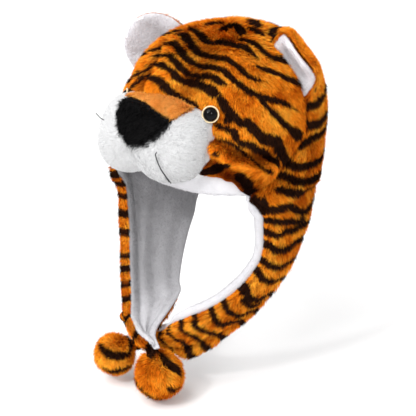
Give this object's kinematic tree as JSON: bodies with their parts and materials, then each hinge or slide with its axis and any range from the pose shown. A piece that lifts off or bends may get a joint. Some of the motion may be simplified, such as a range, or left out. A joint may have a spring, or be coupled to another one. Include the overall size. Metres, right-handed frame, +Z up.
{
  "type": "plush animal hat",
  "caption": "Padded plush tiger hat with a stuffed muzzle, button eyes, round ears and two long ear flaps ending in plush balls, in the form it has when worn.",
  "frame": {"origin": "top of the hollow inside the crown, where the wearer's head touches it", "axes": "+Z up, the animal's face looks along -Y, the animal's left is +X"},
  "size_m": [0.2222, 0.2417, 0.3794],
  "materials": {
    "tiger_plush": "short orange plush with black-brown stripes",
    "white_fleece": "brushed white fleece lining",
    "white_plush": "very short white plush",
    "black_plush": "longer black pile",
    "tan_plush": "short tan plush",
    "eye_black": "polished black dome",
    "eye_ring": "pale amber ring"
  },
  "bodies": {
    "root": {"face_panel": "tiger_plush", "side_left": "tiger_plush", "side_right": "tiger_plush", "lining_face": "white_fleece", "lining_left": "white_fleece", "lining_right": "white_fleece", "muzzle": "white_plush", "nose": "black_plush", "bridge": "tan_plush", "eye_left": "eye_black", "eye_right": "eye_black", "eye_ring_left": "eye_ring", "eye_ring_right": "eye_ring", "ear_left": "tiger_plush", "ear_right": "tiger_plush", "ear_lining_left": "white_plush", "ear_lining_right": "white_plush", "pompom_left": "tiger_plush", "pompom_right": "tiger_plush"}
  },
  "joints": []
}
